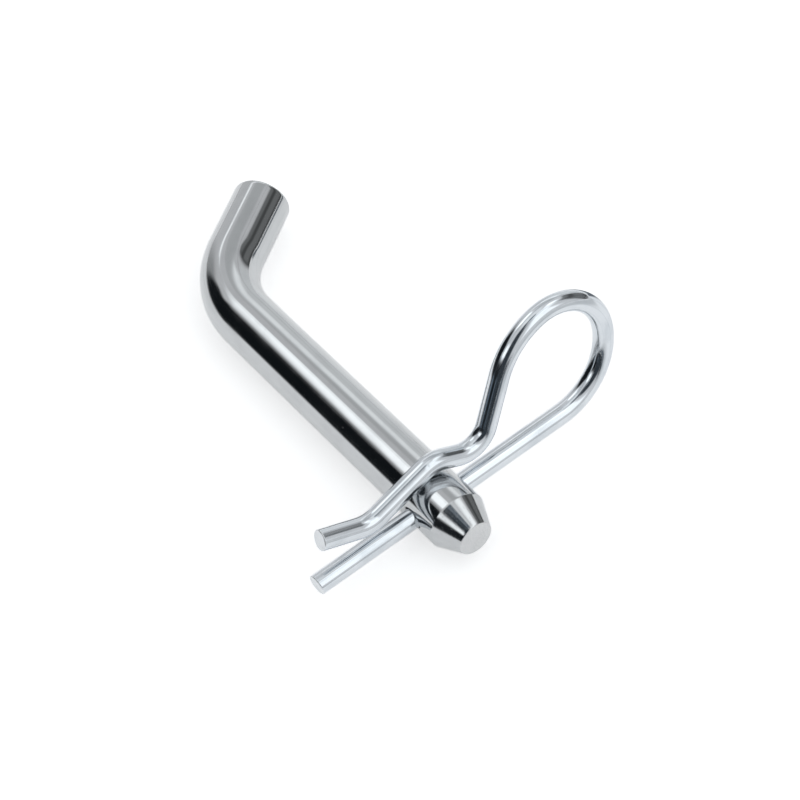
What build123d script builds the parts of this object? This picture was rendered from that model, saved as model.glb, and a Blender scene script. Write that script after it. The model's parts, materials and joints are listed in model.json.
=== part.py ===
from build123d import *
import math
import os

# Hitch pin with a spring clip.
#
# A round steel bar with a bent handle is pushed through a trailer hitch, and a
# spring wire clip goes through the cross hole near its nose so that it can't
# slide back out. Millimetres. The shank lies along X with its nose towards +X,
# the cross hole runs along Y, and the origin is on the shank's axis, halfway
# between the bend and the cross hole.

# --- Pin -------------------------------------------------------------------
PIN_DIAMETER = 15.875  # 5/8 inch bar
GRIP_LENGTH = 80.0  # straight shank, from the bend to the cross hole's axis
BEND_RADIUS = 26.0  # centreline of the bend
BEND_ANGLE = 56.0  # turn from the shank's line to the handle's
HANDLE_LENGTH = 19.5  # straight part of the handle
HANDLE_END_CHAMFER = 0.8

HOLE_TO_NOSE = 15.25  # from the cross hole's axis to the flat end
HOLE_TO_TAPER = 8.0  # from the cross hole's axis to the start of the taper
NOSE_FACE_DIAMETER = 9.2
NOSE_EDGE_RADIUS = 0.4

HOLE_DIAMETER = 6.0
COUNTERSINK_DIAMETER = 7.6

# --- Clip ------------------------------------------------------------------
WIRE_DIAMETER = 5.26  # 0.207 inch spring wire
CLIP_TILT = 10.0  # the clip leans about the hole's axis, towards the handle
WIRE_END_CHAMFER = 0.3

LEG_TIP = 36.1  # straight leg, from the pin's axis to its free end
LEG_ROOT = 38.2  # straight leg, from the pin's axis to the start of the loop

# Each bend of the wire is a centreline radius and a turn in degrees. A
# positive turn is to the left, seen with the arm above the leg and the loop
# on the right.
LOOP_OUTER_BEND = (17.6, 90.0)
LOOP_CROWN_BEND = (14.1, 102.0)
LOOP_BACK_BEND = (21.2, 45.5)
LOOP_RETURN_LENGTH = 12.5  # straight run down to the pinch beside the pin
PINCH_BEND = (7.7, -83.0)
ARM_RISE_LENGTH = 4.3  # straight run up onto the pin
SADDLE_BEND = (8.2, 40.0)  # hump that sits over the pin
ARM_FALL_LENGTH = 15.3  # straight run down the pin's far side
TIP_BEND = (9.4, -36.5)
TIP_LENGTH = 10.8  # flared end that rides up over the pin

KNUCKLE_GAP = 0.08  # between the arm's ball end and the loop's cup

# --- Derived values ---------------------------------------------------------
PIN_RADIUS = PIN_DIAMETER / 2
WIRE_RADIUS = WIRE_DIAMETER / 2
HOLE_X = GRIP_LENGTH / 2
BEND_X = -GRIP_LENGTH / 2
TAPER_X = HOLE_X + HOLE_TO_TAPER
NOSE_X = HOLE_X + HOLE_TO_NOSE

# The wire is bent in one plane through the hole's axis. In that plane x runs
# along the hole towards the loop, and y runs from the leg up to the arm.
tilt = math.radians(CLIP_TILT)
clip_plane = Plane(
    origin=(HOLE_X, 0, 0),
    x_dir=(0, 1, 0),
    z_dir=(math.cos(tilt), 0, math.sin(tilt)),
)

os.makedirs("parts", exist_ok=True)


def section_plane(path):
    """Plane across the start of a path."""
    return Plane(origin=path @ 0, z_dir=path % 0)


def straight(edge, length):
    """Carry the wire straight on from the end of an edge."""
    return Line(edge @ 1, edge @ 1 + (edge % 1) * length)


def bend_on(edge, bend):
    """Bend the wire on from the end of an edge."""
    radius, turn = bend
    return JernArc(edge @ 1, edge % 1, radius, turn)


# --- Hitch pin ---------------------------------------------------------------
with BuildPart() as hitch_pin:
    # One bar, swept from the start of the taper round the bend to the handle.
    with BuildLine() as bar_path:
        shank = Line((TAPER_X, 0), (BEND_X, 0))
        bend = JernArc(shank @ 1, shank % 1, BEND_RADIUS, -BEND_ANGLE)
        handle = Line(bend @ 1, bend @ 1 + (bend % 1) * HANDLE_LENGTH)
    with BuildSketch(section_plane(bar_path.line)):
        Circle(PIN_RADIUS)
    sweep()
    handle_end = faces().filter_by(GeomType.PLANE).sort_by(Axis.X)[0]
    chamfer(handle_end.edges(), HANDLE_END_CHAMFER)

    # Tapered nose with a flat end, so that the pin finds its hole.
    with BuildSketch(Plane.XY):
        with BuildLine():
            Polyline(
                (TAPER_X, 0),
                (NOSE_X, 0),
                (NOSE_X, NOSE_FACE_DIAMETER / 2),
                (TAPER_X, PIN_RADIUS),
                close=True,
            )
        make_face()
    revolve(axis=Axis.X)
    nose_end = faces().filter_by(Plane.YZ).sort_by(Axis.X)[-1]
    fillet(nose_end.edges(), NOSE_EDGE_RADIUS)

    # Cross hole, countersunk on both sides of the bar.
    hole_radius = HOLE_DIAMETER / 2
    mouth_radius = COUNTERSINK_DIAMETER / 2
    mouth_depth = mouth_radius - hole_radius
    hole_reach = PIN_RADIUS + 1
    flare_radius = mouth_radius + hole_reach - PIN_RADIUS
    with BuildSketch(Plane.XY):
        with BuildLine():
            Polyline(
                (HOLE_X, -hole_reach),
                (HOLE_X + flare_radius, -hole_reach),
                (HOLE_X + hole_radius, -PIN_RADIUS + mouth_depth),
                (HOLE_X + hole_radius, PIN_RADIUS - mouth_depth),
                (HOLE_X + flare_radius, hole_reach),
                (HOLE_X, hole_reach),
                close=True,
            )
        make_face()
    revolve(axis=Axis((HOLE_X, 0, 0), (0, 1, 0)), mode=Mode.SUBTRACT)

hitch_pin.part.label = "hitch_pin"

# --- Spring clip -------------------------------------------------------------
# The clip is one wire. It is divided at the root of its leg, where the loop
# can turn about the leg's axis, and at the loop's outermost point, where the
# arm flexes open on a ball end the size of the wire.
with BuildPart() as clip_leg:
    with BuildLine(clip_plane) as leg_path:
        leg = Line((-LEG_TIP, 0), (LEG_ROOT, 0))
    with BuildSketch(section_plane(leg_path.line)):
        Circle(WIRE_RADIUS)
    sweep()
    leg_end = faces().filter_by(GeomType.PLANE).sort_by(Axis.Y)[0]
    chamfer(leg_end.edges(), WIRE_END_CHAMFER)

clip_leg.part.label = "clip_leg"

with BuildPart() as clip_loop:
    with BuildLine(clip_plane) as loop_path:
        loop_start = bend_on(leg, LOOP_OUTER_BEND)
    with BuildSketch(section_plane(loop_path.line)):
        Circle(WIRE_RADIUS)
    sweep()
    knuckle = loop_start @ 1
    with Locations(knuckle):
        Sphere(WIRE_RADIUS + KNUCKLE_GAP, mode=Mode.SUBTRACT)

clip_loop.part.label = "clip_loop"

with BuildPart() as clip_arm:
    with BuildLine(clip_plane) as arm_path:
        loop_crown = bend_on(loop_start, LOOP_CROWN_BEND)
        loop_back = bend_on(loop_crown, LOOP_BACK_BEND)
        loop_return = straight(loop_back, LOOP_RETURN_LENGTH)
        pinch = bend_on(loop_return, PINCH_BEND)
        rise = straight(pinch, ARM_RISE_LENGTH)
        saddle = bend_on(rise, SADDLE_BEND)
        fall = straight(saddle, ARM_FALL_LENGTH)
        tip_bend = bend_on(fall, TIP_BEND)
        tip = straight(tip_bend, TIP_LENGTH)
    with BuildSketch(section_plane(arm_path.line)):
        Circle(WIRE_RADIUS)
    sweep()
    tip_end = faces().filter_by(GeomType.PLANE).sort_by(Axis.Y)[0]
    chamfer(tip_end.edges(), WIRE_END_CHAMFER)
    with Locations(knuckle):
        Sphere(WIRE_RADIUS)

clip_arm.part.label = "clip_arm"

for piece in (hitch_pin, clip_leg, clip_loop, clip_arm):
    export_step(piece.part, f"parts/{piece.part.label}.step")

# Where the arm flexes open on the loop, and about which axis.
print("arm hinge at", knuckle, "axis", -clip_plane.z_dir)
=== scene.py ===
import json
import math

import bmesh
import bpy
from mathutils import Matrix, Vector


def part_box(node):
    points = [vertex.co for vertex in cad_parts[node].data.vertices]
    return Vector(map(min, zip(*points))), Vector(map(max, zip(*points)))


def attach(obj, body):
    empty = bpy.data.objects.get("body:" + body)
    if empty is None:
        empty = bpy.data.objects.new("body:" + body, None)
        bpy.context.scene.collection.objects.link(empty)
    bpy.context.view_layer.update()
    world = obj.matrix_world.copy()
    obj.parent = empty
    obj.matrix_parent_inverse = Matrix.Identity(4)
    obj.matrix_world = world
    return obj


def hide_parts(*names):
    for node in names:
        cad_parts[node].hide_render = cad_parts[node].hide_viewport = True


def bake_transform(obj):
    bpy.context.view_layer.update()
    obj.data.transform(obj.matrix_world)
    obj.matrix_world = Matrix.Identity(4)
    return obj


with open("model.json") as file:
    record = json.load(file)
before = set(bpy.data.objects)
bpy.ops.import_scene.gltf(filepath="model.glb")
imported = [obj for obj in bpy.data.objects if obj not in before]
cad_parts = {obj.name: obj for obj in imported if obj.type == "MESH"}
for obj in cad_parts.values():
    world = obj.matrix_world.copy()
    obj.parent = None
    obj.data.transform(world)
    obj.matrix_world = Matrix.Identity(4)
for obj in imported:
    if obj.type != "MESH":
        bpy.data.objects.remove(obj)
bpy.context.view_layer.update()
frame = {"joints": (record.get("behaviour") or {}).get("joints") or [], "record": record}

# Looks of a hitch pin with a spring clip: a polished bent bar, a bright wire
# clip through its cross hole, and a small light studio round them.
# Sizes are in metres and turns in degrees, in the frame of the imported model.

MM = 0.001
STRAIGHT = "straight"  # mesh attribute with a point's place before the bar was bent

record = frame["record"]
joints = {joint["name"]: joint for joint in frame["joints"]}
mounts = {mount["name"]: mount for mount in record["mounts"]}

X = Vector((1, 0, 0))
Y = Vector((0, 1, 0))
Z = Vector((0, 0, 1))

# --- Pin ---------------------------------------------------------------------
# The bar's lengths and radii are the CAD's. Its roundings are the looks' own.
PIN_RADIUS = mounts["shank"]["dims"]["r_mm"] * MM
NOSE_X = mounts["nose_end"]["pos_m"][0]
HOLE_X = joints["clip_swing"]["pos_m"][0]
GRIP_LENGTH = 80 * MM  # straight shank, from the bend to the cross hole's axis
BEND_RADIUS = 26 * MM
BEND_ANGLE = 56
HANDLE_LENGTH = 19.5 * MM
TAPER_LENGTH = 7.25 * MM
NOSE_RADIUS = 4.6 * MM  # of the flat end
NOSE_ROUNDING = 0.45 * MM
TAPER_ROUNDING = 1.2 * MM
HANDLE_ROUNDING = 1.16 * MM
FEED_PITCH = 0.3 * MM  # of the lathe's marks on the nose

PIN_SEGMENTS = 96
PIN_STEP = 0.52 * MM  # longest face along the bar

# The cross hole's mouths are countersunk. Each has a patch of faces of its own,
# in rings round the hole, which fills a square opening in the bar's grid.
HOLE_RADIUS = 3.0 * MM
MOUTH_RADIUS = 3.8 * MM
MOUTH_SOFTNESS = 0.07 * MM  # of the countersink's edge
MOUTH_PATCH_STEPS = 10  # of the bar's grid, from the hole's axis to the patch's edge
MOUTH_FAN_STEPS = 4  # from the patch's square edge to its first round ring
MOUTH_RINGS = [radius * MM for radius in (4.3, 4.05, 3.9, 3.8, 3.7, 3.6, 3.45, 3.3, 3.15, 3.05)]
BORE_EDGE_DEPTHS = (0.05 * MM, 0.3 * MM)  # rings in the bore, below the countersink

# --- Clip --------------------------------------------------------------------
WIRE_RADIUS = 2.63 * MM
CLIP_TILT = 10  # towards the handle
LEG_TIP_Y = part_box("clip_leg")[0].y
LEG_ROOT_Y = joints["clip_swing"]["pos_m"][1]

WIRE_SEGMENTS = 48
WIRE_STEP = 0.25 * MM  # longest face along the wire
SEAM_STEP = 0.02 * MM  # last face before the seam, short so that the shading runs on across it

WIRE_END_ROUNDING = 0.35 * MM
SHEAR_REACH = 1.6 * MM  # how far from a sheared end its shape is disturbed
SHEAR_SLOPE = 0.28 * MM  # how far the sheared face leans back over the wire's width
SHEAR_DIMPLE = 0.12 * MM  # hollow that the shear leaves where the wire broke off
SHEAR_BREAK = 0.35  # where the break starts, in wire radii up the leaning face
SHEAR_RIPPLE = 0.2  # share of the hollow's depth
LEG_SHEAR_ROLL = 115  # which way each sheared face leans, about the wire
ARM_SHEAR_ROLL = -40

# Bends of the wire after its straight leg: radius and turn, then the straight
# run that follows, all as in the CAD.
OUTER_BEND = (17.6 * MM, 90)
CROWN_BEND = (14.1 * MM, 102)
BACK_BEND = (21.2 * MM, 45.5)
RETURN_LENGTH = 12.5 * MM
PINCH_BEND = (7.7 * MM, -83)
RISE_LENGTH = 4.3 * MM
SADDLE_BEND = (8.2 * MM, 40)
FALL_LENGTH = 15.3 * MM
TIP_BEND = (9.4 * MM, -36.5)
TIP_LENGTH = 10.8 * MM


class BentLine:
    """A centreline of straight runs and bends that lie in one plane."""

    def __init__(self, start, heading, normal):
        self.normal = normal
        self.length = 0.0
        self.runs = []
        self.last = (start, heading)

    def straight(self, length):
        return self.add(length, 0.0)

    def bend(self, radius, degrees):
        """A bend to the left, or to the right if degrees is negative."""
        turn = math.radians(degrees)
        return self.add(radius * abs(turn), math.copysign(1 / radius, turn))

    def add(self, length, curvature):
        point, heading = self.last
        self.runs.append((self.length, point, heading, curvature))
        self.length += length
        self.last = self.at(self.length)
        return self

    def at(self, distance):
        """Point and heading at a distance along the line."""
        started = [run for run in self.runs if run[0] <= distance]
        begin, point, heading, curvature = started[-1] if started else self.runs[0]
        along = distance - begin
        if curvature == 0:
            return point + heading * along, heading
        side = self.normal.cross(heading)
        turned = heading * math.cos(along * curvature) + side * math.sin(along * curvature)
        centre = point + side / curvature
        return centre - self.normal.cross(turned) / curvature, turned

    def place(self, straight_point):
        """Where a point of the straight bar goes when the bar is bent along the line."""
        point, heading = self.at(straight_point.x)
        side = self.normal.cross(heading)
        return point + side * straight_point.y + self.normal * straight_point.z


def rounded_outline(corners, arc_steps=6):
    """Points (distance, radius) of a turned outline, from corners (distance, radius, rounding)."""
    points = []
    for i, (x, r, rounding) in enumerate(corners):
        corner = Vector((x, r))
        if not rounding:
            points.append(corner)
            continue
        back = (Vector(corners[i - 1][:2]) - corner).normalized()
        ahead = (Vector(corners[i + 1][:2]) - corner).normalized()
        half = back.angle(ahead) / 2
        reach = rounding / math.tan(half)
        centre = corner + (back + ahead).normalized() * (rounding / math.sin(half))
        first = (corner + back * reach - centre).normalized()
        last = (corner + ahead * reach - centre).normalized()
        for k in range(arc_steps + 1):
            points.append(centre + first.slerp(last, k / arc_steps) * rounding)
    return points


def fill_steps(points, step):
    """The same outline with no step longer than the given one."""
    filled = [points[0]]
    for begin, end in zip(points, points[1:]):
        count = max(1, math.ceil((end - begin).length / step))
        filled += [begin.lerp(end, k / count) for k in range(1, count + 1)]
    return filled


def turned_bar(outline, segments):
    """Vertices, faces and rings of a straight bar turned about X.

    The outline starts and ends on the axis. A face between two rings is kept
    under its place in the grid: the first ring's number and the segment's.
    """
    vertices = [Vector((outline[0].x, 0, 0))]
    rings = []
    for x, r in outline[1:-1]:
        rings.append([len(vertices) + k for k in range(segments)])
        for k in range(segments):
            angle = math.tau * k / segments
            vertices.append(Vector((x, r * math.sin(angle), r * math.cos(angle))))
    vertices.append(Vector((outline[-1].x, 0, 0)))
    faces = {}
    for k in range(segments):
        after = (k + 1) % segments
        faces["first", k] = (0, rings[0][after], rings[0][k])
        faces["last", k] = (len(vertices) - 1, rings[-1][k], rings[-1][after])
        for i in range(len(rings) - 1):
            ring, following = rings[i], rings[i + 1]
            faces[i, k] = (ring[k], ring[after], following[after], following[k])
    return vertices, faces, rings


def make_mesh(name, straight_vertices, faces, line):
    """Object of a bar bent along a line. Its mesh keeps the straight bar's places for the materials."""
    mesh = bpy.data.meshes.new(name)
    mesh.from_pydata([line.place(v) for v in straight_vertices], [], faces)
    straight = mesh.attributes.new(STRAIGHT, "FLOAT_VECTOR", "POINT")
    straight.data.foreach_set("vector", [c for v in straight_vertices for c in v])
    mesh.polygons.foreach_set("use_smooth", [True] * len(mesh.polygons))
    outwards = bmesh.new()
    outwards.from_mesh(mesh)
    bmesh.ops.recalc_face_normals(outwards, faces=outwards.faces)
    outwards.to_mesh(mesh)
    outwards.free()
    made = bpy.data.objects.new(name, mesh)
    bpy.context.scene.collection.objects.link(made)
    return made


def soft_minimum(a, b, softness):
    """The smaller of two values, with a rounded change from one to the other."""
    return -softness * math.log(math.exp(-a / softness) + math.exp(-b / softness))


def mouth_height(radius, z):
    """Height of the surface round the hole: the bar's, or its countersink's where that is lower."""
    bar = math.sqrt(PIN_RADIUS**2 - z**2)
    countersink = PIN_RADIUS - MOUTH_RADIUS + radius
    return soft_minimum(bar, countersink, MOUTH_SOFTNESS)


def square_walk(steps, side):
    """Grid places round a square, in ring and segment steps from its centre."""
    along = range(-steps, steps)
    walk = [(i, -steps * side) for i in along]
    walk += [(steps, k * side) for k in along]
    walk += [(-i, steps * side) for i in along]
    walk += [(-steps, -k * side) for k in along]
    return walk


def add_band(faces, label, outer, inner, forwards):
    """Faces between two closed loops of the same number of vertices."""
    for k in range(len(outer)):
        after = (k + 1) % len(outer)
        quad = (outer[k], outer[after], inner[after], inner[k])
        faces[label + (k,)] = quad if forwards else quad[::-1]


def cut_mouth(vertices, faces, rings, hole_x, side):
    """Cut one countersunk mouth into a turned bar. Gives the innermost loop of vertices in its bore."""
    middle = min(range(len(rings)), key=lambda i: abs(vertices[rings[i][0]].x - hole_x))
    quarter = PIN_SEGMENTS // 4
    centre = quarter if side > 0 else 3 * quarter
    steps = MOUTH_PATCH_STEPS
    for i in range(middle - steps, middle + steps):
        for k in range(centre - steps, centre + steps):
            del faces[i, k]
    edge = [rings[middle + i][centre + k] for i, k in square_walk(steps, side)]

    def add_loop(radius_at, height_at):
        """A loop inside the patch's edge: its radius from the edge's own, and its height from its place."""
        loop = []
        for v in edge:
            reach = math.hypot(vertices[v].x - hole_x, vertices[v].z)
            radius = radius_at(reach)
            x = hole_x + (vertices[v].x - hole_x) * radius / reach
            z = vertices[v].z * radius / reach
            loop.append(len(vertices))
            vertices.append(Vector((x, side * height_at(radius, z), z)))
        return loop

    loops = [edge]
    for k in range(1, MOUTH_FAN_STEPS):
        share = k / MOUTH_FAN_STEPS
        loops.append(add_loop(lambda reach: reach + (MOUTH_RINGS[0] - reach) * share, mouth_height))
    for ring_radius in MOUTH_RINGS:
        loops.append(add_loop(lambda reach: ring_radius, mouth_height))
    bore_top = PIN_RADIUS - MOUTH_RADIUS + HOLE_RADIUS
    heights = [bore_top - depth for depth in BORE_EDGE_DEPTHS] + [bore_top / 2]
    for height in heights:
        loops.append(add_loop(lambda reach: HOLE_RADIUS, lambda radius, z: height))
    for n, (outer, inner) in enumerate(zip(loops, loops[1:])):
        add_band(faces, ("mouth", side, n), outer, inner, side > 0)
    return loops[-1]


def cut_cross_hole(vertices, faces, rings, hole_x):
    """Cut a countersunk hole along Y through a turned bar."""
    near_end = cut_mouth(vertices, faces, rings, hole_x, 1)
    far_end = cut_mouth(vertices, faces, rings, hole_x, -1)
    add_band(faces, ("bore",), near_end, far_end, True)


def drop_loose(vertices, faces):
    """The same shape without the vertices that no face uses."""
    used = sorted({v for face in faces.values() for v in face})
    place = {v: n for n, v in enumerate(used)}
    return [vertices[v] for v in used], [[place[v] for v in face] for face in faces.values()]


def shear_end(vertices, end_x, inwards, roll):
    """Give the wire's end the leaning, hollowed face of a sheared one. It only ever moves inwards."""
    for v in vertices:
        share = 1 - abs(v.x - end_x) / SHEAR_REACH
        if share <= 0:
            continue
        y = v.y / WIRE_RADIUS
        z = v.z / WIRE_RADIUS
        lean = math.cos(math.radians(roll)) * y + math.sin(math.radians(roll)) * z
        slope = SHEAR_SLOPE * (1 + lean) / 2
        # The hollow is below the break, and fades out towards the rim.
        hollow = SHEAR_DIMPLE * max(0.0, SHEAR_BREAK - lean) * max(0.0, 1 - math.hypot(y, z) ** 4)
        ripple = SHEAR_RIPPLE * math.sin(5 * lean + 2 * math.sin(3 * z))
        v.x += inwards * share * (slope + hollow * (1 - SHEAR_RIPPLE + ripple))


def pin_line():
    """The pin's centreline, from its nose to the end of its handle."""
    line = BentLine(Vector((NOSE_X, 0, 0)), -X, Z)
    line.straight(NOSE_X + GRIP_LENGTH - HOLE_X)
    line.bend(BEND_RADIUS, -BEND_ANGLE)
    return line.straight(HANDLE_LENGTH)


def clip_line():
    """The clip's whole wire, from the leg's tip to the arm's, and the distance to the top of its loop."""
    tilt = math.radians(CLIP_TILT)
    normal = Vector((math.cos(tilt), 0, math.sin(tilt)))
    line = BentLine(Vector((HOLE_X, LEG_TIP_Y, 0)), Y, normal)
    line.straight(LEG_ROOT_Y - LEG_TIP_Y).bend(*OUTER_BEND)
    top = line.length + CROWN_BEND[0] * math.pi / 2
    line.bend(*CROWN_BEND).bend(*BACK_BEND).straight(RETURN_LENGTH)
    line.bend(*PINCH_BEND).straight(RISE_LENGTH).bend(*SADDLE_BEND)
    line.straight(FALL_LENGTH).bend(*TIP_BEND).straight(TIP_LENGTH)
    return line, top


def make_pin(line):
    """The bent bar, with its nose and cross hole."""
    corners = [
        (0, 0, 0),
        (0, NOSE_RADIUS, NOSE_ROUNDING),
        (TAPER_LENGTH, PIN_RADIUS, TAPER_ROUNDING),
        (line.length, PIN_RADIUS, HANDLE_ROUNDING),
        (line.length, 0, 0),
    ]
    outline = fill_steps(rounded_outline(corners), PIN_STEP)
    vertices, faces, rings = turned_bar(outline, PIN_SEGMENTS)
    cut_cross_hole(vertices, faces, rings, NOSE_X - HOLE_X)
    vertices, faces = drop_loose(vertices, faces)
    return make_mesh("pin_bar", vertices, faces, line)


def make_wire(name, line, start, end):
    """One piece of the clip's wire, between two distances along its line.

    It is sheared where the wire itself ends, and cut flat at the seam.
    """
    if start == 0:
        rims = [(start, WIRE_END_ROUNDING), (end - SEAM_STEP, 0), (end, 0)]
    else:
        rims = [(start, 0), (start + SEAM_STEP, 0), (end, WIRE_END_ROUNDING)]
    corners = [(start, 0, 0)]
    corners += [(x, WIRE_RADIUS, rounding) for x, rounding in rims]
    corners += [(end, 0, 0)]
    outline = fill_steps(rounded_outline(corners), WIRE_STEP)
    vertices, faces, rings = turned_bar(outline, WIRE_SEGMENTS)
    if start == 0:
        shear_end(vertices, start, 1, LEG_SHEAR_ROLL)
    else:
        shear_end(vertices, end, -1, ARM_SHEAR_ROLL)
    piece = make_mesh(name, vertices, list(faces.values()), line)
    piece.data.set_sharp_from_angle(angle=math.radians(60))
    return piece


# --- Nodes -------------------------------------------------------------------
class Nodes:
    """Adds nodes to one tree. An input is a plain value or another node's output."""

    def __init__(self, tree):
        self.tree = tree

    def join(self, value, socket):
        if isinstance(value, bpy.types.NodeSocket):
            self.tree.links.new(value, socket)
        else:
            socket.default_value = value

    def add(self, kind, inputs, **settings):
        """A node with some of its inputs, by name or place, and its settings."""
        node = self.tree.nodes.new(kind)
        for key, value in settings.items():
            setattr(node, key, value)
        for key, value in inputs.items():
            self.join(value, node.inputs[key])
        return node

    def math(self, operation, *values):
        return self.add("ShaderNodeMath", dict(enumerate(values)), operation=operation).outputs[0]

    def total(self, *values):
        result = values[0]
        for value in values[1:]:
            result = self.math("ADD", result, value)
        return result

    def product(self, *values):
        result = values[0]
        for value in values[1:]:
            result = self.math("MULTIPLY", result, value)
        return result

    def ramp(self, value, low, high, result_low=0.0, result_high=1.0):
        """Smoothly from one result at a low value to another at a high one, and level beyond them."""
        ends = {"From Min": low, "From Max": high, "To Min": result_low, "To Max": result_high}
        node = self.add("ShaderNodeMapRange", {"Value": value, **ends}, interpolation_type="SMOOTHSTEP")
        return node.outputs["Result"]

    def within(self, value, low, high, softness):
        """1 while a value is between two others, fading to 0 over a softness centred on each."""
        off_centre = self.math("ABSOLUTE", self.math("SUBTRACT", value, (low + high) / 2))
        half = (high - low) / 2
        return self.ramp(off_centre, half + softness / 2, half - softness / 2)

    def noise(self, place, scales, detail=2.0):
        """Noise from 0 to 1, with its own scale along each axis."""
        inputs = {0: place, 1: scales}
        stretched = self.add("ShaderNodeVectorMath", inputs, operation="MULTIPLY").outputs[0]
        inputs = {"Vector": stretched, "Scale": 1.0, "Detail": detail}
        return self.add("ShaderNodeTexNoise", inputs).outputs[0]

    def mix(self, share, first, second):
        """A colour between two."""
        inputs = {"Factor": share, "A": first, "B": second}
        return self.add("ShaderNodeMix", inputs, data_type="RGBA").outputs["Result"]


# --- Materials ---------------------------------------------------------------
# Both metals are bright plated steel, drawn through a die. Their marks follow
# the bar through its bends, because they are placed on the straight bar's
# coordinates: x along it, and y and z across it. Heights are in millimetres.

# Noise scales along and across the bar, per metre: a larger one is finer.
WIDE_LINES = (14, 1500, 1500)
FINE_LINES = (90, 5200, 5200)
SCORES = (9, 2300, 2300)
WAVES = (70, 110, 110)
CLOUDS = (130, 260, 260)
GRAIN = (3200, 3200, 3200)
PITS = (900, 900, 900)
CHATTER = (5200, 420, 420)
SAW_LINES = (300, 4200, 260)
FROST = (3600, 3600, 3600)
TORN_STEEL = (700, 1700, 1700)

BARE_STEEL = (0.70, 0.70, 0.70, 1)
SHEARED_STEEL = (0.80, 0.81, 0.82, 1)


class DrawnMetal:
    """A drawn, plated metal. Its colour, roughness and height can be changed until it is finished."""

    def __init__(self, name, bright, dull, roughness, line_height, wave_height):
        self.material = bpy.data.materials.new(name)
        self.material.use_nodes = True
        self.nodes = nodes = Nodes(self.material.node_tree)
        straight = nodes.add("ShaderNodeAttribute", {}, attribute_name=STRAIGHT)
        self.place = place = straight.outputs["Vector"]

        # Die lines of two widths, with some deeper scores among them.
        wide_lines = nodes.noise(place, WIDE_LINES)
        fine_lines = nodes.noise(place, FINE_LINES)
        scored = nodes.ramp(nodes.noise(place, SCORES, detail=1.0), 0.60, 0.70)
        # The bar isn't quite round or straight, and its plating is cloudy and has small pits.
        waves = nodes.noise(place, WAVES, detail=1.0)
        clouds = nodes.noise(place, CLOUDS, detail=4.0)
        grain = nodes.noise(place, GRAIN)
        pits = nodes.ramp(nodes.noise(place, PITS), 0.70, 0.78)

        self.height = nodes.total(
            nodes.product(wide_lines, line_height),
            nodes.product(fine_lines, line_height * 0.3),
            nodes.product(scored, -line_height),
            nodes.product(waves, wave_height),
            nodes.product(grain, line_height * 0.12),
            nodes.product(pits, line_height * -0.5),
        )
        self.roughness = nodes.total(
            nodes.ramp(clouds, 0.35, 0.7, roughness * 0.8, roughness * 1.5),
            nodes.product(pits, 0.15),
            nodes.product(scored, 0.08),
        )
        dullness = nodes.total(
            nodes.product(nodes.ramp(clouds, 0.4, 0.75), 0.5),
            nodes.product(scored, 0.5),
            nodes.product(pits, 0.4),
        )
        self.colour = nodes.mix(dullness, (*bright, 1), (*dull, 1))

    def finish(self):
        """Join everything to the shader, and give the material."""
        shader = self.material.node_tree.nodes["Principled BSDF"]
        inputs = {"Strength": 1.0, "Distance": MM, "Height": self.height}
        bump = self.nodes.add("ShaderNodeBump", inputs).outputs[0]
        self.nodes.join(1.0, shader.inputs["Metallic"])
        self.nodes.join(self.colour, shader.inputs["Base Color"])
        self.nodes.join(self.roughness, shader.inputs["Roughness"])
        self.nodes.join(bump, shader.inputs["Normal"])
        return self.material


def pin_metal(length):
    """The drawn bar, with a nose turned on a lathe and a sawn end at its handle."""
    metal = DrawnMetal(
        "pin_steel_plated",
        bright=(0.565, 0.577, 0.585),
        dull=(0.49, 0.50, 0.51),
        roughness=0.08,
        line_height=0.0022,
        wave_height=0.008,
    )
    nodes = metal.nodes
    along, y, z = nodes.add("ShaderNodeSeparateXYZ", {0: metal.place}).outputs

    # Feed marks: rings along the taper, and round the nose's flat end.
    turned = nodes.ramp(along, TAPER_LENGTH + 0.2 * MM, TAPER_LENGTH - 0.2 * MM)
    radius = nodes.math("SQRT", nodes.total(nodes.product(y, y), nodes.product(z, z)))
    feed = nodes.math("SINE", nodes.product(nodes.total(along, radius), math.tau / FEED_PITCH))
    chatter = nodes.noise(metal.place, CHATTER)
    marks = nodes.total(nodes.product(feed, 0.0005), nodes.product(chatter, 0.0016))

    # Saw marks across the handle's end.
    sawn = nodes.ramp(along, length - 0.25 * MM, length - 0.1 * MM)
    saw_lines = nodes.noise(metal.place, SAW_LINES)

    # Both flat ends are frosted.
    faced = nodes.ramp(along, 0.25 * MM, 0.1 * MM)
    ends = nodes.math("MAXIMUM", faced, sawn)
    frosted = nodes.ramp(nodes.noise(metal.place, FROST, detail=4.0), 0.3, 0.7)

    metal.height = nodes.total(
        metal.height,
        nodes.product(marks, turned),
        nodes.product(saw_lines, sawn, 0.012),
    )
    metal.roughness = nodes.total(
        metal.roughness,
        nodes.product(turned, 0.02),
        nodes.product(ends, 0.22),
    )
    metal.colour = nodes.mix(nodes.product(ends, frosted), metal.colour, BARE_STEEL)
    return metal.finish()


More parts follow.
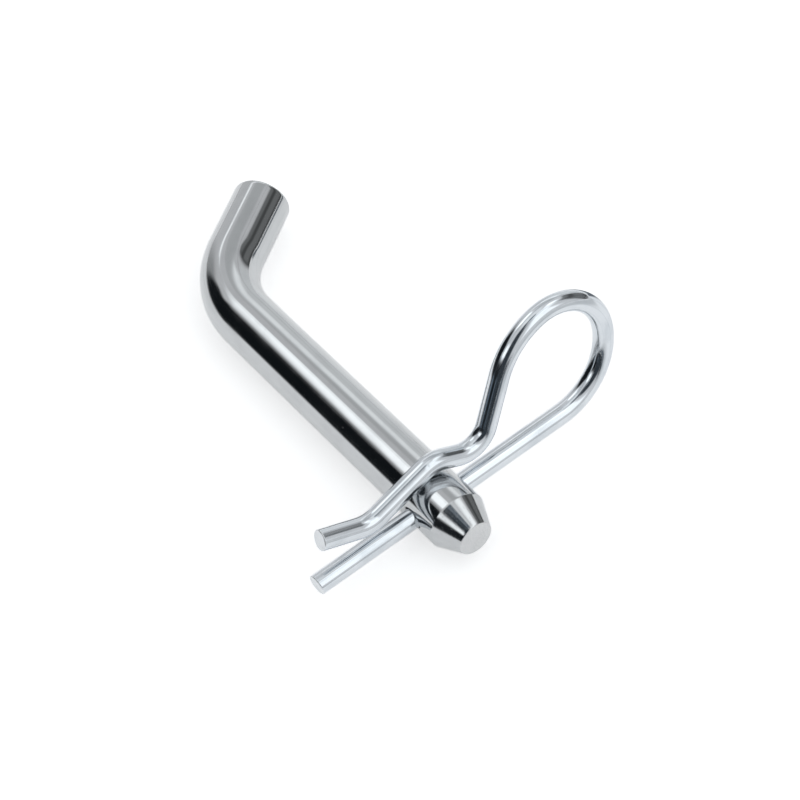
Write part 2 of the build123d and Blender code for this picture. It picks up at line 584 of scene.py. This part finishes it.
def wire_metal(length):
    """The drawn wire, with a rough, pale face at each sheared end."""
    metal = DrawnMetal(
        "clip_wire_plated",
        bright=(0.71, 0.74, 0.77),
        dull=(0.50, 0.54, 0.58),
        roughness=0.10,
        line_height=0.0048,
        wave_height=0.014,
    )
    nodes = metal.nodes
    along = nodes.add("ShaderNodeSeparateXYZ", {0: metal.place}).outputs[0]
    to_middle = nodes.math("ABSOLUTE", nodes.math("SUBTRACT", along, length / 2))
    sheared = nodes.ramp(to_middle, length / 2 - 0.5 * MM, length / 2 - 0.3 * MM)
    torn = nodes.noise(metal.place, TORN_STEEL, detail=4.0)
    metal.height = nodes.total(metal.height, nodes.product(torn, sheared, 0.05))
    metal.roughness = nodes.total(metal.roughness, nodes.product(sheared, 0.25))
    metal.colour = nodes.mix(nodes.product(sheared, torn), metal.colour, SHEARED_STEEL)
    return metal.finish()


# --- Build -------------------------------------------------------------------
bar = pin_line()
pin = make_pin(bar)
pin.data.materials.append(pin_metal(bar.length))
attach(pin, "pin")
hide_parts("hitch_pin")

wire, loop_top = clip_line()
spring = make_wire("clip_spring_wire", wire, 0, loop_top)
arm = make_wire("clip_arm_wire", wire, loop_top, wire.length)
plated_wire = wire_metal(wire.length)
for piece in (spring, arm):
    piece.data.materials.append(plated_wire)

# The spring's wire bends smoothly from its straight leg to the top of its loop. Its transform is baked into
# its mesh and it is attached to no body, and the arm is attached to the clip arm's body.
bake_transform(spring)
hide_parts("clip_leg", "clip_loop")
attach(arm, "clip_arm")
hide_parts("clip_arm")

# --- Studio ------------------------------------------------------------------
# The metal is as bright as what it reflects, so the light comes from cards all
# round it. The camera itself sees only the white floor, and white beyond it.


def grey(level):
    """A card that is very slightly cool."""
    return (level * 0.97, level, level * 1.015)


def dusk(level):
    """A dark card that is a little blue."""
    return (level * 0.80, level, level * 1.22)


WALL_COLOUR = (0.70, 0.71, 0.725)
WORLD_CARDS = (
    # Azimuths and elevations, softness of the edges, colour. A later card covers an earlier one.
    ((-20, 380), (73, 110), 8, grey(0.95)),  # ceiling
    ((108, 150), (-12, 27), 10, grey(0.81)),  # pale wall beyond the handle
    ((110, 154), (42, 58), 8, grey(0.59)),  # and a dimmer one above it
    ((57, 104), (-12, 38), 8, grey(0.09)),  # dark wall beyond the clip's loop
    ((57, 100), (6, 22), 6, grey(0.20)),  # and two paler bands on it
    ((57, 100), (31, 40), 6, grey(0.20)),
    ((122, 154), (28, 40), 8, grey(1.15)),  # strip light over the pale wall
    ((150, 176), (35, 39), 4, grey(1.5)),  # and its thin end
    ((184, 208), (-5, 30), 14, grey(0.42)),  # dim wall past the bend
    ((-2, 34), (13, 69), 12, grey(1.35)),  # soft lights past the nose
    ((26, 82), (48, 66), 10, grey(1.5)),
    ((177, 216), (47.5, 64), 10, grey(1.65)),  # soft light above the bend
    ((256, 304), (35, 50), 6, grey(1.5)),  # soft light beside the camera
    ((196, 212), (3, 36), 8, dusk(0.010)),  # black cards on the bend's outer side
    ((206, 250), (1.5, 43), 9, dusk(0.010)),
    ((245, 352), (-4, 7), 7, dusk(0.03)),  # black cards below the camera
    ((245, 330), (4, 32), 7, dusk(0.013)),
    ((252, 266), (2, 12), 5, dusk(0.2)),  # and two paler gaps between them
    ((291, 309), (7, 14), 5, dusk(0.2)),
    ((297, 340), (5, 66), 9, dusk(0.045)),  # camera stand
    ((308, 334), (60, 74), 9, dusk(0.07)),
    ((326, 372), (69, 80), 9, dusk(0.16)),
)

FLOOR_HALF_WIDTH = 3.0
FLOOR_CARD_COLOUR = (0.14, 0.16, 0.18)
FLOOR_CARDS = (
    # Ranges of X and Y, softness of the edges, how much of the floor's white they cover.
    ((0.105, 1.5), (-1.0, 0.6), 0.05, 0.38),  # past the nose
    ((0.14, 1.5), (-1.0, 0.015), 0.05, 1.0),
    ((-0.05, 0.01), (0.10, 0.6), 0.03, 1.0),  # beyond the handle
)

# The photograph's viewpoint, fitted to the outlines of the pin and the clip.
CAMERA_PLACE = Vector((0.36338, -0.17070, 0.47141))
CAMERA_RIGHT = Vector((0.59817, 0.78842, -0.14347))
CAMERA_UP = Vector((-0.55924, 0.53893, 0.62992))
CAMERA_LENS = 112.417  # in mm, as Blender has it, for the sensor below
CAMERA_SENSOR = 36
NEAREST_SEEN = 0.05
FARTHEST_SEEN = 20


def white_floor(nodes, base, glow):
    """A white surface that also glows, so that shadows on it stay faint."""
    inputs = {
        "Base Color": (base, base, base, 1),
        "Roughness": 0.7,
        "Emission Color": (1, 1, 1, 1),
        "Emission Strength": glow,
    }
    return nodes.add("ShaderNodeBsdfPrincipled", inputs).outputs[0]


def floor_material():
    """Plain white to the camera. The metal's reflections see a shaded floor with dark cards lying on it."""
    material = bpy.data.materials.new("floor_white")
    material.use_nodes = True
    material.node_tree.nodes.remove(material.node_tree.nodes["Principled BSDF"])
    nodes = Nodes(material.node_tree)
    place = nodes.add("ShaderNodeNewGeometry", {}).outputs["Position"]
    x, y, _ = nodes.add("ShaderNodeSeparateXYZ", {0: place}).outputs
    covered = 0.0
    for x_range, y_range, softness, strength in FLOOR_CARDS:
        across = nodes.within(x, *x_range, softness)
        along = nodes.within(y, *y_range, softness)
        covered = nodes.math("MAXIMUM", covered, nodes.product(across, along, strength))
    cards = nodes.add("ShaderNodeEmission", {"Color": (*FLOOR_CARD_COLOUR, 1)}).outputs[0]
    shaded = white_floor(nodes, base=0.95, glow=0.33)
    reflected = nodes.add("ShaderNodeMixShader", {0: covered, 1: shaded, 2: cards}).outputs[0]
    seen = white_floor(nodes, base=0.75, glow=0.57)
    glossy = nodes.add("ShaderNodeLightPath", {}).outputs["Is Glossy Ray"]
    surface = nodes.add("ShaderNodeMixShader", {0: glossy, 1: seen, 2: reflected}).outputs[0]
    nodes.join(surface, material.node_tree.nodes["Material Output"].inputs["Surface"])
    return material


def make_floor():
    """The floor that the pin lies on."""
    half = FLOOR_HALF_WIDTH
    floor_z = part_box("hitch_pin")[0].z
    corners = [(-half, -half), (half, -half), (half, half), (-half, half)]
    mesh = bpy.data.meshes.new("floor")
    mesh.from_pydata([(x, y, floor_z) for x, y in corners], [], [(0, 1, 2, 3)])
    mesh.materials.append(floor_material())
    floor = bpy.data.objects.new("floor", mesh)
    bpy.context.scene.collection.objects.link(floor)


def make_world():
    """Soft-edged cards all round. The camera itself sees plain white past the floor."""
    world = bpy.data.worlds.new("studio")
    bpy.context.scene.world = world
    world.use_nodes = True
    nodes = Nodes(world.node_tree)
    direction = nodes.add("ShaderNodeTexCoord", {}).outputs["Generated"]

    def towards(vector):
        """How far the direction points along a vector."""
        node = nodes.add("ShaderNodeVectorMath", {0: direction, 1: vector}, operation="DOT_PRODUCT")
        return node.outputs["Value"]

    elevation = nodes.math("ARCSINE", towards(Z))
    sky = (*WALL_COLOUR, 1)
    for azimuths, elevations, softness, colour in WORLD_CARDS:
        first, last = (math.radians(azimuth) for azimuth in azimuths)
        lowest, highest = (math.radians(height) for height in elevations)
        soft = math.radians(softness)
        # The turn is measured from the card's centre, so that no card is split where azimuths wrap round.
        centre = (first + last) / 2
        ahead = towards((math.cos(centre), math.sin(centre), 0))
        aside = towards((-math.sin(centre), math.cos(centre), 0))
        turn = nodes.math("ARCTAN2", aside, ahead)
        across = nodes.within(turn, first - centre, last - centre, soft)
        upright = nodes.within(elevation, lowest, highest, soft)
        sky = nodes.mix(nodes.product(across, upright), sky, (*colour, 1))
    seen = nodes.add("ShaderNodeLightPath", {}).outputs["Is Camera Ray"]
    sky = nodes.mix(seen, sky, (1, 1, 1, 1))
    nodes.join(sky, world.node_tree.nodes["Background"].inputs["Color"])


def make_camera():
    """The camera at the photograph's viewpoint."""
    data = bpy.data.cameras.new("camera")
    data.sensor_width = CAMERA_SENSOR
    data.lens = CAMERA_LENS
    data.clip_start = NEAREST_SEEN
    data.clip_end = FARTHEST_SEEN
    camera = bpy.data.objects.new("camera", data)
    bpy.context.scene.collection.objects.link(camera)
    backwards = CAMERA_RIGHT.cross(CAMERA_UP)
    turned = Matrix((CAMERA_RIGHT, CAMERA_UP, backwards)).transposed().to_4x4()
    camera.matrix_world = Matrix.Translation(CAMERA_PLACE) @ turned
    bpy.context.scene.camera = camera


make_floor()
make_world()
make_camera()
bpy.context.scene.view_settings.view_transform = "Standard"
